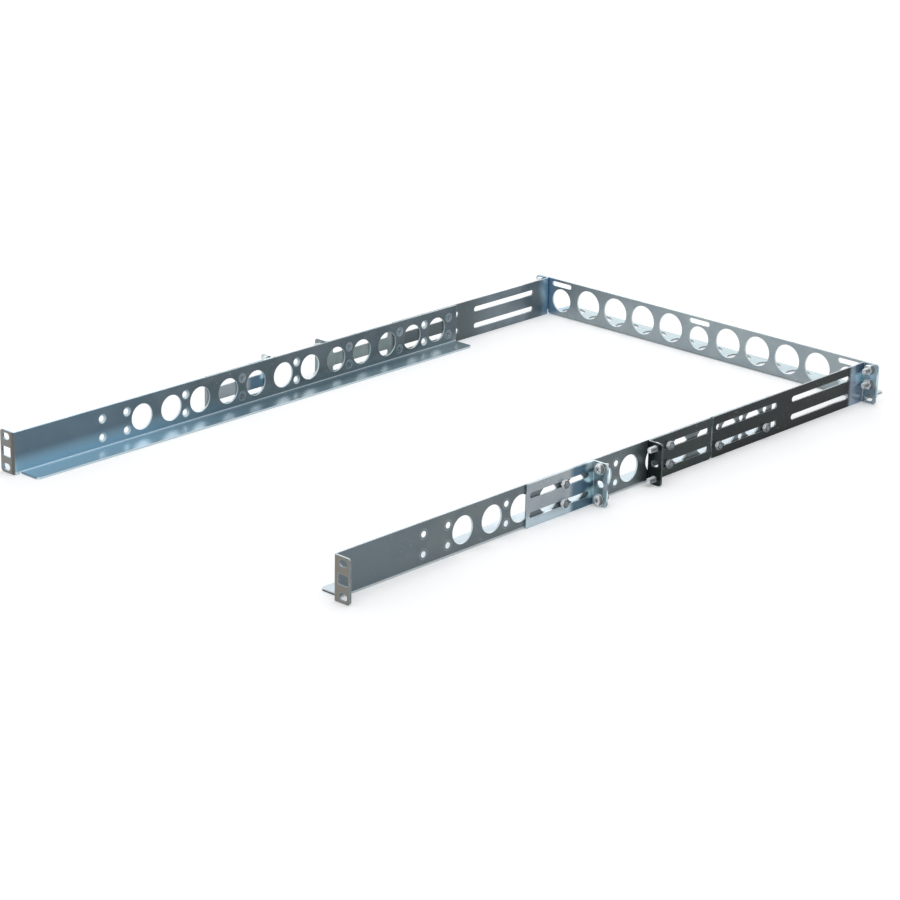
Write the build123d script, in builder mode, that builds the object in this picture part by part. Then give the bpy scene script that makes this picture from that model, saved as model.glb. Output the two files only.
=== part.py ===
"""Fixed rack rail pair: two L rails, six slotted brackets and a rear tie bar of zinc-plated sheet.

Frame: origin at the middle of the front rack holes, on the front face of the rails' ears.
X runs to the right rail, Y to the rear and Z up. Everything is in millimetres.
"""
from build123d import *
from math import copysign, radians, sqrt, tan
import os

os.makedirs("parts", exist_ok=True)

# Rack standard
panel_width = 482.6        # over the ears, a 19 inch panel
column_inset = 8.75        # from an ear's edge to its column of rack holes
rack_unit = 44.45
unit_margin = 6.35         # from a rack unit's edge to its nearest hole

# Sheet
sheet = 1.9
bend_inside = 1.0          # inner radius of every bend
ear_corner = 3.5           # rounding of an ear's outer corners
tip_corner = 2.4           # rounding of a bracket's free end

# Rails
rail_gap = 0.45            # rail height left free in its rack unit
ear_width = 20.75          # from the web's inner face to the ear's edge
shelf_width = 25.4         # flange that carries the equipment, from the web's inner face
shelf_front = 8.5          # the flange starts this far behind the ear's front face
shelf_corner = 5.0         # rounding of the flange's free corners
relief_width = 2.4         # notch that parts the flange from the ear
relief_height = 2.6
rail_length = 632.5
window_width = 12.5        # middle opening of the front ear, for a cage nut
window_height = 10.0
window_corner = 0.6

# Holes along the rail's web
port_diameter = 27.3       # large round holes
port_first = 164.4
port_last_inset = 32.5     # from the last port's middle to the rail's end
port_count = 12
pair_margin = 12.2         # from the rail's upper or lower edge to a screw hole of a pair
front_pair = 112.4         # lone pair ahead of the row

# Slots of the ears
ear_slot_length = 10.0
ear_slot_height = 6.8
mid_slot_length = 8.4

# Brackets
bracket_slot_height = 5.8
bracket_slot_tip = 4.6     # from a mid bracket's free end to its slots
bracket_slot_heel = 9.0    # from its slots to the back of its ear
left_ear_setting = 48.7    # from the front clamp screws to the rear face of the left front mid ear
right_ear_setting = 45.7   # the same on the right
front_mid_reach = 98.6
rear_mid_reach = 100.0
rear_clamp_inset = 9.6     # from the rear bracket's free end to its first clamp screws
bracket_gap = 1.5          # between the rear mid bracket and the rear bracket
rear_reach = 161.9         # from the rail's end to the rear face of the rear ear
rear_slot_tip = 6.0
rear_slot_bridge = 25.9    # metal between the two runs of slots
rear_slot_heel = 28.3      # from the second run of slots to the back of the ear
notch_width = 1.6          # relief under the rear bracket's bend
notch_height = 2.0

# Tie bar
bar_flange = 40.6
bar_flange_overhang = 1.0  # the flange stops this far inside the brackets' outer faces
bar_flange_corner = 4.0
bar_end_margin = 20.15     # from the flange's end to the middle of its last hole
bar_port_diameter = 33.0
bar_port_height = 1.0      # above the rack holes' centre line
bar_port_count = 4         # large holes on each side between two small ones
bar_small_diameter = 27.0
bar_small_height = -2.2
bar_slot_length = 28.4
bar_slot_width = 5.3
bar_slot_margin = 5.6      # from the bar's upper edge to the middle of a tie slot
bar_flange_port = 27.0
bar_flange_port_depth = 22.8   # from the bar's front face to the middle of the flange's holes
tab_below = 16.7           # end tab, below the rack holes' centre line
tab_chamfer = 2.5

# Flat-head screws with nuts
web_thread = 5.0
web_screw_length = 8.0
flat_head = 9.2
flat_head_sink = 0.1
web_nut_flats = 8.0
web_nut_height = 4.0

# Rack screws and the bolts of the tie bar
rack_thread = 6.0
rack_screw_length = 12.0
pan_head = 10.4
pan_head_height = 3.4
pan_head_rim = 1.3         # straight part of the head's side
pan_head_crown = 3.6       # flat top of the head
washer_diameter = 12.0
washer_thickness = 1.0
bar_bolt_length = 16.0
bar_nut_flats = 10.0
bar_nut_height = 5.0

# Details of the fasteners
play = 0.05                # between a thread and its nut, washer or seat
thread_tip = 0.6
recess_width = 1.1
recess_share = 0.52        # span of the cross recess as a share of the head
recess_depth = 1.5
washer_bore = 6.4
head_angle = 90.0
nut_bevel = 30.0

# Worked out from the sizes above
rail_height = rack_unit - rail_gap
half = rail_height / 2
unit_pitch = rack_unit / 2 - unit_margin
ear_edge = panel_width / 2
column = ear_edge - column_inset
web_inner = ear_edge - ear_width
web_outer = web_inner + sheet
plate_outer = web_outer + sheet
bend_outside = bend_inside + sheet
pair_offset = half - pair_margin

# Every second gap between ports has a pair of screw holes, and so has the last gap
port_pitch = (rail_length - port_last_inset - port_first) / (port_count - 1)
ports = [port_first + port_pitch * i for i in range(port_count)]
main_pairs = [port_first - port_pitch / 2 + 2 * port_pitch * i for i in range(port_count // 2 + 1)]
end_pair = (ports[-2] + ports[-1]) / 2

# The third and the fifth pair hold the mid brackets, the last two hold the rear bracket
front_screw_pair, mid_screw_pair, rear_screw_pairs = main_pairs[2], main_pairs[4], main_pairs[5:]
front_mid_ears = {"left": front_screw_pair + left_ear_setting,
                  "right": front_screw_pair + right_ear_setting}
rear_bracket_front = rear_screw_pairs[0] - rear_clamp_inset
rear_mid_ear = rear_bracket_front - bracket_gap - rear_mid_reach
rear_ear = rail_length + rear_reach
rear_bracket_length = rear_ear - rear_bracket_front
rear_slot_length = (rear_bracket_length - rear_slot_tip - rear_slot_bridge - rear_slot_heel) / 2
bar_half = plate_outer - bar_flange_overhang
bar_pitch = (bar_half - bar_end_margin) / (bar_port_count + 1)
bar_slot_raise = half - bar_slot_margin
flat_head_seat = flat_head + 2 * flat_head_sink + 2 * play
sides = {"left": -1, "right": 1}


def bend_points(corner, leg_u, leg_v):
    """Outline of an L of sheet from its outer corner and the signed lengths of its two legs."""
    u, v = corner
    thick_u, thick_v = copysign(sheet, leg_u), copysign(sheet, leg_v)
    return [(u, v), (u + leg_u, v), (u + leg_u, v + thick_v),
            (u + thick_u, v + thick_v), (u + thick_u, v + leg_v), (u, v + leg_v)]


def round_bend(points):
    """Round the outer and the inner corner of the L that the current sketch holds."""
    fillet(vertices().sort_by_distance(points[0])[0], radius=bend_outside)
    fillet(vertices().sort_by_distance(points[3])[0], radius=bend_inside)


def to_side(side):
    """Turn the right-hand piece of the current part into the left-hand one where side is -1."""
    if side < 0:
        mirror(about=Plane.YZ, mode=Mode.REPLACE)


def make_rail(side):
    """L rail with its front ear, screw holes countersunk from inside."""
    ear = bend_points((web_inner, 0), ear_edge - web_inner, shelf_front)
    rail_section = bend_points((web_outer, -half), -(sheet + shelf_width), rail_height)
    with BuildPart() as rail:
        with BuildSketch(Plane.XY.offset(-half)):
            with BuildLine():
                Polyline(*ear, close=True)
            make_face()
            round_bend(ear)
        extrude(amount=rail_height)
        fillet(rail.edges().filter_by(Axis.Y).group_by(Axis.X)[-1], radius=ear_corner)
        with BuildSketch(Plane.XZ.offset(-shelf_front)):
            with BuildLine():
                Polyline(*rail_section, close=True)
            make_face()
            round_bend(rail_section)
        extrude(amount=-(rail_length - shelf_front))
        free_corners = rail.edges().filter_by(Axis.Z).group_by(Axis.X)[0]
        fillet(free_corners, radius=shelf_corner)
        with BuildSketch(Plane.YZ.offset(web_inner - bend_outside)):
            with Locations((shelf_front - relief_width / 2, -half)):
                SlotOverall(2 * relief_height, relief_width, rotation=90)
        extrude(amount=bend_outside + sheet, mode=Mode.SUBTRACT)
        with BuildSketch(Plane.XZ):
            with Locations((column, unit_pitch), (column, -unit_pitch)):
                SlotOverall(ear_slot_length, ear_slot_height)
            with Locations((column, 0)):
                RectangleRounded(window_width, window_height, window_corner)
        extrude(amount=-sheet, mode=Mode.SUBTRACT)
        with BuildSketch(Plane.YZ.offset(web_inner)):
            with Locations(*[(y, 0) for y in ports]):
                Circle(port_diameter / 2)
        extrude(amount=sheet, mode=Mode.SUBTRACT)
        inner_face = Plane(origin=(web_inner, 0, 0), x_dir=(0, 1, 0), z_dir=(-1, 0, 0))
        pairs = [front_pair, *main_pairs, end_pair]
        with Locations(inner_face):
            with Locations(*[(y, z) for y in pairs for z in (pair_offset, -pair_offset)]):
                CounterSinkHole(web_thread / 2 + 2 * play, flat_head_seat / 2, 2 * sheet, head_angle)
        to_side(side)
    return rail.part


def make_mid_bracket(side, ear_face, reach):
    """Slotted plate with an ear; reach is signed and runs from the ear to the free end."""
    outline = bend_points((web_outer, ear_face), ear_edge - web_outer, reach)
    heading = copysign(1, reach)
    slot_length = abs(reach) - bracket_slot_tip - bracket_slot_heel
    slot_middle = ear_face + heading * (bracket_slot_heel + slot_length / 2)
    with BuildPart() as bracket:
        with BuildSketch(Plane.XY.offset(-half)):
            with BuildLine():
                Polyline(*outline, close=True)
            make_face()
            round_bend(outline)
        extrude(amount=rail_height)
        fillet(bracket.edges().filter_by(Axis.Y).group_by(Axis.X)[-1], radius=ear_corner)
        tip = 0 if heading < 0 else -1
        fillet(bracket.edges().filter_by(Axis.X).group_by(Axis.Y)[tip], radius=tip_corner)
        with BuildSketch(Plane.YZ.offset(web_outer)):
            with Locations((slot_middle, pair_offset), (slot_middle, -pair_offset)):
                SlotOverall(slot_length, bracket_slot_height)
        extrude(amount=sheet, mode=Mode.SUBTRACT)
        with BuildSketch(Plane.XZ.offset(-ear_face)):
            with Locations(*[(column, unit_pitch * i) for i in (-1, 0, 1)]):
                SlotOverall(mid_slot_length, ear_slot_height)
        extrude(amount=-heading * sheet, mode=Mode.SUBTRACT)
        to_side(side)
    return bracket.part


def make_rear_bracket(side):
    """Long slotted plate that ends in the rear ear."""
    outline = bend_points((web_outer, rear_ear), ear_edge - web_outer, -rear_bracket_length)
    first = rear_bracket_front + rear_slot_tip + rear_slot_length / 2
    second = first + rear_slot_length + rear_slot_bridge
    with BuildPart() as bracket:
        with BuildSketch(Plane.XY.offset(-half)):
            with BuildLine():
                Polyline(*outline, close=True)
            make_face()
            round_bend(outline)
        extrude(amount=rail_height)
        fillet(bracket.edges().filter_by(Axis.Y).group_by(Axis.X)[-1], radius=ear_corner)
        fillet(bracket.edges().filter_by(Axis.X).group_by(Axis.Y)[0], radius=tip_corner)
        with BuildSketch(Plane.YZ.offset(web_outer)):
            with Locations(*[(y, z) for y in (first, second) for z in (pair_offset, -pair_offset)]):
                SlotOverall(rear_slot_length, bracket_slot_height)
            with Locations((rear_ear - bend_outside - notch_width / 2, -half)):
                SlotOverall(2 * notch_height, notch_width, rotation=90)
        extrude(amount=sheet, mode=Mode.SUBTRACT)
        with BuildSketch(Plane.XZ.offset(-rear_ear)):
            with Locations(*[(column, unit_pitch * i) for i in (-1, 0, 1)]):
                SlotOverall(ear_slot_length, ear_slot_height)
        extrude(amount=sheet, mode=Mode.SUBTRACT)
        to_side(side)
    return bracket.part


def make_flat_screw():
    """Flat-head screw along +Z; Z = 0 is the face that its head is sunk into."""
    radius, head_radius = web_thread / 2, flat_head / 2
    top = flat_head_sink
    under = top + (head_radius - radius) / tan(radians(head_angle / 2))
    end = web_screw_length
    with BuildPart() as screw:
        with BuildSketch(Plane.XZ):
            with BuildLine():
                Polyline((0, top), (head_radius, top), (radius, under), (radius, end - thread_tip),
                         (radius - thread_tip, end), (0, end), close=True)
            make_face()
        revolve(axis=Axis.Z)
        with BuildSketch(Plane.XY.offset(top)):
            Rectangle(recess_share * flat_head, recess_width)
            Rectangle(recess_width, recess_share * flat_head)
        extrude(amount=recess_depth, mode=Mode.SUBTRACT)
    return screw.part


def make_pan_screw(length):
    """Pan-head screw along +Z; Z = 0 is the face under its head."""
    radius, head_radius = rack_thread / 2, pan_head / 2
    with BuildPart() as screw:
        with BuildSketch(Plane.XZ):
            with BuildLine():
                crown = (pan_head_crown / 2, -pan_head_height)
                TangentArc(crown, (head_radius, -pan_head_rim), tangent=(1, 0))
                Polyline((head_radius, -pan_head_rim), (head_radius, 0), (radius, 0),
                         (radius, length - thread_tip), (radius - thread_tip, length), (0, length),
                         (0, -pan_head_height), crown)
            make_face()
        revolve(axis=Axis.Z)
        with BuildSketch(Plane.XY.offset(-pan_head_height)):
            Rectangle(recess_share * pan_head, recess_width)
            Rectangle(recess_width, recess_share * pan_head)
        extrude(amount=recess_depth, mode=Mode.SUBTRACT)
    return screw.part


def make_nut(thread, flats, height):
    """Hexagon nut along +Z with bevelled corners; Z = 0 is the face that it clamps with."""
    corner = flats / sqrt(3)
    bevel = (corner - flats / 2) * tan(radians(nut_bevel))
    with BuildPart() as nut:
        with BuildSketch():
            RegularPolygon(flats / 2, 6, major_radius=False)
            Circle(thread / 2 + play, mode=Mode.SUBTRACT)
        extrude(amount=height)
        with BuildSketch(Plane.XZ):
            with BuildLine():
                Polyline((0, 0), (flats / 2, 0), (corner, bevel), (corner, height - bevel),
                         (flats / 2, height), (0, height), close=True)
            make_face()
        revolve(axis=Axis.Z, mode=Mode.INTERSECT)
    return nut.part


def make_washer():
    """Flat washer of the rack screws, lying on Z = 0."""
    with BuildPart() as washer:
        with BuildSketch():
            Circle(washer_diameter / 2)
            Circle(washer_bore / 2, mode=Mode.SUBTRACT)
        extrude(amount=washer_thickness)
    return washer.part


def outward(side, distance, y, z):
    """Plane at a distance from the middle, looking away from it, on one side."""
    return Plane(origin=(side * distance, y, z), x_dir=(0, 1, 0), z_dir=(side, 0, 0))


def along(side, y, z, heading):
    """Plane at a side's column of rack holes that looks to the rear (1) or the front (-1)."""
    return Plane(origin=(side * column, y, z), x_dir=(1, 0, 0), z_dir=(0, heading, 0))


def make_group(piece, planes):
    """Copies of one fastener, each on its own plane."""
    with BuildPart() as group:
        with Locations(*planes):
            add(piece)
    return group.part


def save(part, name):
    """Label a finished piece and write it under its node's name."""
    part.label = name
    export_step(part, f"parts/{name}.step")


with BuildPart() as tie_bar:
    bar_section = bend_points((rear_ear, -half), bar_flange, rail_height)
    with BuildSketch(Plane.YZ.offset(-bar_half)):
        with BuildLine():
            Polyline(*bar_section, close=True)
        make_face()
        round_bend(bar_section)
    extrude(amount=2 * bar_half)
    rear_corners = tie_bar.edges().filter_by(Axis.Z).group_by(Axis.Y)[-1]
    fillet(rear_corners, radius=bar_flange_corner)
    with BuildSketch(Plane.XZ.offset(-rear_ear)):
        for side in sides.values():
            with BuildLine():
                Polyline((side * (bar_half - ear_corner), half), (side * ear_edge, half),
                         (side * ear_edge, tab_chamfer - tab_below),
                         (side * (ear_edge - tab_chamfer), -tab_below),
                         (side * (bar_half - ear_corner), -tab_below), close=True)
            make_face()
    extrude(amount=-sheet)
    tab_edges = tie_bar.edges().filter_by(Axis.Y)
    tab_corners = tab_edges.group_by(Axis.X)[0] + tab_edges.group_by(Axis.X)[-1]
    fillet(tab_corners.group_by(Axis.Z)[-1], radius=ear_corner)
    rows = [bar_pitch * i for i in range(-bar_port_count - 1, bar_port_count + 2)]
    small_rows = [rows[0], 0.0, rows[-1]]
    large_rows = [x for x in rows if x not in small_rows]
    with BuildSketch(Plane.XZ.offset(-rear_ear)):
        with Locations(*[(x, bar_port_height) for x in large_rows]):
            Circle(bar_port_diameter / 2)
        with Locations(*[(x, bar_small_height) for x in small_rows]):
            Circle(bar_small_diameter / 2)
        with Locations(*[(x, bar_slot_raise) for x in small_rows]):
            SlotOverall(bar_slot_length, bar_slot_width)
        with Locations(*[(side * column, z) for side in sides.values() for z in (0, unit_pitch)]):
            SlotOverall(mid_slot_length, ear_slot_height)
    extrude(amount=-sheet, mode=Mode.SUBTRACT)
    with BuildSketch(Plane.XY.offset(-half)):
        with Locations(*[(x, rear_ear + bar_flange_port_depth) for x in rows]):
            Circle(bar_flange_port / 2)
    extrude(amount=sheet, mode=Mode.SUBTRACT)
tie_bar.part.label = "tie_bar"
export_step(tie_bar.part, "parts/tie_bar.step")

flat_screw = make_flat_screw()
rack_screw = make_pan_screw(rack_screw_length)
bar_bolt = make_pan_screw(bar_bolt_length)
web_nut = make_nut(web_thread, web_nut_flats, web_nut_height)
bar_nut = make_nut(rack_thread, bar_nut_flats, bar_nut_height)
washer = make_washer()

upper, lower = pair_offset, -pair_offset
rear_rows = {"left": (upper, lower), "right": (lower,)}

for name, side in sides.items():
    save(make_rail(side), f"{name}_rail")
    front_mid_ear = front_mid_ears[name]
    save(make_mid_bracket(side, front_mid_ear, -front_mid_reach), f"{name}_front_mid_bracket")
    save(make_mid_bracket(side, rear_mid_ear, rear_mid_reach), f"{name}_rear_mid_bracket")
    save(make_rear_bracket(side), f"{name}_rear_bracket")

    spots = {
        "front_clamp": [(front_screw_pair, z) for z in (upper, lower)],
        "middle_clamp": [(mid_screw_pair, z) for z in (upper, lower)],
        "rear_clamp": [(y, z) for y in rear_screw_pairs for z in rear_rows[name]],
    }
    for place, holes in spots.items():
        screws = [outward(side, web_inner, y, z) for y, z in holes]
        nuts = [outward(side, plate_outer, y, z) for y, z in holes]
        save(make_group(flat_screw, screws), f"{name}_{place}_screws")
        save(make_group(web_nut, nuts), f"{name}_{place}_nuts")

    rack_rows = (unit_pitch, -unit_pitch)
    mid_ears = {"front_mid": (front_mid_ear - sheet, 1), "rear_mid": (rear_mid_ear + sheet, -1)}
    for place, (face, heading) in mid_ears.items():
        under_head = face - heading * washer_thickness
        heads = [along(side, under_head, z, heading) for z in rack_rows]
        save(make_group(rack_screw, heads), f"{name}_{place}_rack_screws")
        save(make_group(washer, heads), f"{name}_{place}_washers")

    bar_rows = (0, unit_pitch)
    bolts = [along(side, rear_ear + sheet, z, -1) for z in bar_rows]
    nuts = [along(side, rear_ear - sheet, z, -1) for z in bar_rows]
    save(make_group(bar_bolt, bolts), f"{name}_bar_bolts")
    save(make_group(bar_nut, nuts), f"{name}_bar_nuts")
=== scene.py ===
"""Fixed rack rail pair: its zinc finishes and threaded fasteners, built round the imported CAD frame.

The frame is that of the CAD model: X to the right rail, Y to the rear, Z up. Lengths are in
metres, but the places of a Fade are in millimetres.
"""

import logging
import math
from dataclasses import dataclass
from enum import Enum
from typing import Callable, ClassVar

import bpy
from mathutils import Matrix, Vector


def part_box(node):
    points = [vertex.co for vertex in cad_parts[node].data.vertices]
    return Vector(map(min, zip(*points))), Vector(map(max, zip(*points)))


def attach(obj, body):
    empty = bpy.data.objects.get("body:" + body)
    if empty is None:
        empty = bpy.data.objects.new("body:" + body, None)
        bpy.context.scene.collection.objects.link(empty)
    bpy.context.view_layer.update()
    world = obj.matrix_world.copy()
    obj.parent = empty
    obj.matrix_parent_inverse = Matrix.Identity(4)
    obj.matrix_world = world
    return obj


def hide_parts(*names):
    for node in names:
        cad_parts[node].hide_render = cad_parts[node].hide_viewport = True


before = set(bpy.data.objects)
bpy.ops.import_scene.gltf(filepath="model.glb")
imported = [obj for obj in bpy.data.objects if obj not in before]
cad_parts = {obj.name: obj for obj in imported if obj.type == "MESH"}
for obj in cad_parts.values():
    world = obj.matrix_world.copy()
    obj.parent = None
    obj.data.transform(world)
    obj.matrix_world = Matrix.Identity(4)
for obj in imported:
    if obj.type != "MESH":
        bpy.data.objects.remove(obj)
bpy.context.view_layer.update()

log = logging.getLogger("rack_rails")

MM = 0.001
FULL_TURN = 2 * math.pi

Triple = tuple[float, float, float]
Colour = Triple
Opaque = tuple[float, float, float, float]


class Side(Enum):
    """The two sides of the rack, by the sign of X."""

    LEFT = -1
    RIGHT = 1

    @property
    def word(self) -> str:
        """Name of the side as the CAD nodes write it."""
        return self.name.lower()


class Slot(Enum):
    """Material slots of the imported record."""

    RAIL = "zinc_rail"
    BRACKET = "zinc_bracket"
    BAR = "zinc_bar"
    FASTENER = "zinc_fastener"


class Rolling(Enum):
    """Direction in which the sheet of a piece was rolled, as Euler angles that lay X along it."""

    ALONG_X = (0.0, 0.0, 0.0)
    ALONG_Y = (0.0, 0.0, -math.pi / 2)


def srgb(red: int, green: int, blue: int) -> Colour:
    """Turn a colour as a screen shows it into a linear one.

    Args:
        red: Red from 0 to 255.
        green: Green from 0 to 255.
        blue: Blue from 0 to 255.

    Returns:
        The three linear values from 0 to 1.
    """
    shown = [value / 255 for value in (red, green, blue)]
    linear = [v / 12.92 if v <= 0.04045 else ((v + 0.055) / 1.055) ** 2.4 for v in shown]
    return linear[0], linear[1], linear[2]


# Work at the bench


def deselect_all() -> None:
    """Deselect every object, so that the next operator acts on one piece only."""
    bpy.ops.object.select_all(action="DESELECT")


def pick(piece: bpy.types.Object) -> bpy.types.Object:
    """Make a piece the only selected and the active one.

    Args:
        piece: The object to work on.

    Returns:
        The same object.
    """
    deselect_all()
    piece.select_set(True)
    bpy.context.view_layer.objects.active = piece
    return piece


def new_piece(name: str) -> bpy.types.Object:
    """Name the primitive that was just added and make it the active piece.

    Args:
        name: Name of the object and its mesh.

    Returns:
        The primitive.
    """
    piece = bpy.context.active_object
    piece.name = name
    piece.data.name = name
    return pick(piece)


def select_points(piece: bpy.types.Object, test: Callable[[Vector], bool]) -> None:
    """Select the points of a piece by their place, and stay in object mode.

    Args:
        piece: The active object.
        test: Says for a point's place whether it is selected.
    """
    for face in piece.data.polygons:
        face.select = False
    for edge in piece.data.edges:
        edge.select = False
    for point in piece.data.vertices:
        point.select = test(point.co)


def edit(*steps: Callable[[], object]) -> None:
    """Run some steps on the active piece in edit mode.

    Args:
        steps: Calls of mesh operators.
    """
    bpy.ops.object.mode_set(mode="EDIT")
    for step in steps:
        step()
    bpy.ops.object.mode_set(mode="OBJECT")


def select_mesh() -> None:
    """Select the whole mesh in edit mode."""
    bpy.ops.mesh.select_all(action="SELECT")


def cut(piece: bpy.types.Object, tool: bpy.types.Object) -> None:
    """Cut a tool's shape out of a piece and remove the tool.

    Args:
        piece: The object that is cut.
        tool: The closed shape that is taken away.
    """
    pick(piece)
    knife = piece.modifiers.new("cut", "BOOLEAN")
    knife.operation = "DIFFERENCE"
    knife.solver = "EXACT"
    knife.object = tool
    bpy.ops.object.modifier_apply(modifier=knife.name)
    bpy.data.objects.remove(tool)


# Effects that the finishes share


class Board:
    """A node tree with short calls to lay and join its nodes."""

    def __init__(self, tree: bpy.types.NodeTree) -> None:
        """Keep the tree that the nodes go into."""
        self.tree = tree

    @classmethod
    def cleared(cls, owner: bpy.types.ID) -> "Board":
        """Start anew with the nodes of a material or a world."""
        owner.use_nodes = True
        owner.node_tree.nodes.clear()
        return cls(owner.node_tree)

    def lay(self, kind: str, settings: dict[str, object] | None = None,
            **inputs: object) -> bpy.types.Node:
        """Add a node, set it up and fill or join its inputs.

        Args:
            kind: Type name of the node.
            settings: Properties of the node itself.
            inputs: Values or output sockets by the input's name, with _ for a space.

        Returns:
            The new node.
        """
        node = self.tree.nodes.new(kind)
        for name, value in (settings or {}).items():
            setattr(node, name, value)
        for name, value in inputs.items():
            self.feed(node.inputs[name.replace("_", " ")], value)
        return node

    def feed(self, socket: bpy.types.NodeSocket, value: object) -> None:
        """Join an output to an input, or set the input's own value.

        Args:
            socket: The input.
            value: An output socket, or a plain value.
        """
        if isinstance(value, bpy.types.NodeSocket):
            self.tree.links.new(value, socket)
        else:
            socket.default_value = value

    def calc(self, operation: str, *terms: object, clamp: bool = False) -> bpy.types.NodeSocket:
        """Work out one number from up to three.

        Args:
            operation: Name of the Math node's operation.
            terms: Numbers or output sockets.
            clamp: Keep the result from 0 to 1.

        Returns:
            The result's socket.
        """
        node = self.lay("ShaderNodeMath", {"operation": operation, "use_clamp": clamp})
        for socket, term in zip(node.inputs, terms):
            self.feed(socket, term)
        return node.outputs[0]

    def spread(self, value: object, low: float, high: float, to_low: float = 0.0,
               to_high: float = 1.0, smooth: bool = False) -> bpy.types.NodeSocket:
        """Stretch a range of a value over another range and clamp it there.

        Args:
            value: The value's socket.
            low: Value that becomes to_low.
            high: Value that becomes to_high.
            to_low: Result at the lower end.
            to_high: Result at the upper end.
            smooth: Ease in and out at the two ends.

        Returns:
            The result's socket.
        """
        kind = {"interpolation_type": "SMOOTHSTEP" if smooth else "LINEAR"}
        node = self.lay("ShaderNodeMapRange", kind, Value=value, From_Min=low, From_Max=high,
                        To_Min=to_low, To_Max=to_high)
        return node.outputs["Result"]

    def blend(self, share: object, first: object, second: object) -> bpy.types.NodeSocket:
        """Mix two colours.

        Args:
            share: Share of the second colour.
            first: Colour or its socket.
            second: Colour or its socket.

        Returns:
            The mixed colour's socket.
        """
        node = self.lay("ShaderNodeMix", {"data_type": "RGBA"})
        sockets = [s for s in node.inputs if s.enabled]
        for socket, value in zip(sockets, (share, first, second)):
            self.feed(socket, (*value, 1.0) if isinstance(value, tuple) else value)
        return next(s for s in node.outputs if s.enabled)


@dataclass(frozen=True)
class Effect:
    """Name and sockets of a shader node group that several finishes share."""

    name: str
    inputs: dict[str, float]
    outputs: tuple[str, ...] = ("Mask",)

    def start(self) -> tuple[bpy.types.NodeTree, Board, bpy.types.Node, bpy.types.Node]:
        """Make the empty group with its sockets.

        Returns:
            The group, its board, its input node and its output node.
        """
        tree = bpy.data.node_groups.new(self.name, "ShaderNodeTree")
        tree.interface.new_socket("Vector", in_out="INPUT", socket_type="NodeSocketVector")
        for label, default in self.inputs.items():
            socket = tree.interface.new_socket(label, in_out="INPUT", socket_type="NodeSocketFloat")
            socket.default_value = default
        for label in self.outputs:
            tree.interface.new_socket(label, in_out="OUTPUT", socket_type="NodeSocketFloat")
        given, result = tree.nodes.new("NodeGroupInput"), tree.nodes.new("NodeGroupOutput")
        return tree, Board(tree), given, result


def plating_bloom() -> bpy.types.NodeTree:
    """Cloudy patches where the plating bath left the zinc thicker or thinner.

    Returns:
        A group that gives a mask from 0 to 1.
    """
    effect = Effect("plating_bloom", {"Patches per metre": 30.0})
    tree, board, given, result = effect.start()
    vector, scale = given.outputs["Vector"], given.outputs["Patches per metre"]
    thin, thick = 0.32, 0.68
    noise = board.lay("ShaderNodeTexNoise", Vector=vector, Scale=scale, Detail=4.0, Roughness=0.55,
                      Distortion=0.6)
    board.feed(result.inputs["Mask"], board.spread(noise.outputs["Fac"], thin, thick, smooth=True))
    return tree


def rolling_grain() -> bpy.types.NodeTree:
    """Fine lines that the rolling mill left along the sheet; the vector's X runs along them.

    Returns:
        A group that gives the lines' height and a coarser band value, both from 0 to 1.
    """
    effect = Effect("rolling_grain", {"Lines per metre": 900.0}, ("Lines", "Bands"))
    tree, board, given, result = effect.start()
    vector, scale = given.outputs["Vector"], given.outputs["Lines per metre"]
    stretch, bands_per_line, low, high = (0.012, 1.0, 1.0), 0.22, 0.3, 0.7
    drawn = board.lay("ShaderNodeMapping", Vector=vector, Scale=stretch).outputs[0]
    fine = board.lay("ShaderNodeTexNoise", Vector=drawn, Scale=scale, Detail=2.0, Roughness=0.6)
    coarse = board.calc("MULTIPLY", scale, bands_per_line)
    wide = board.lay("ShaderNodeTexNoise", Vector=drawn, Scale=coarse, Detail=3.0)
    board.feed(result.inputs["Lines"], board.spread(fine.outputs["Fac"], low, high))
    board.feed(result.inputs["Bands"], board.spread(wide.outputs["Fac"], low, high))
    return tree


def handling_marks() -> bpy.types.NodeTree:
    """Sparse hairline scratches in two directions, in patches.

    Returns:
        A group that gives a mask from 0 to 1.
    """
    effect = Effect("handling_marks", {"Marks per metre": 420.0, "Share": 0.5})
    tree, board, given, result = effect.start()
    vector, scale, share = (given.outputs[n] for n in ("Vector", "Marks per metre", "Share"))
    ways, stretch = ((0.35, 0.5, 0.3), (-0.6, -0.3, -0.5)), (0.05, 1.0, 1.0)
    hairline, patch, patches_per_metre = (0.69, 0.73), (0.5, 0.62), 26.0
    layers = []
    for way in ways:
        turned = board.lay("ShaderNodeMapping", Vector=vector, Rotation=way).outputs[0]
        drawn = board.lay("ShaderNodeMapping", Vector=turned, Scale=stretch).outputs[0]
        lines = board.lay("ShaderNodeTexNoise", Vector=drawn, Scale=scale, Detail=1.0)
        layers.append(board.spread(lines.outputs["Fac"], *hairline))
    where = board.lay("ShaderNodeTexNoise", Vector=vector, Scale=patches_per_metre, Detail=2.0)
    patches = board.spread(where.outputs["Fac"], *patch)
    both = board.calc("MAXIMUM", *layers)
    amount = board.calc("MULTIPLY", patches, share)
    board.feed(result.inputs["Mask"], board.calc("MULTIPLY", both, amount, clamp=True))
    return tree


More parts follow.
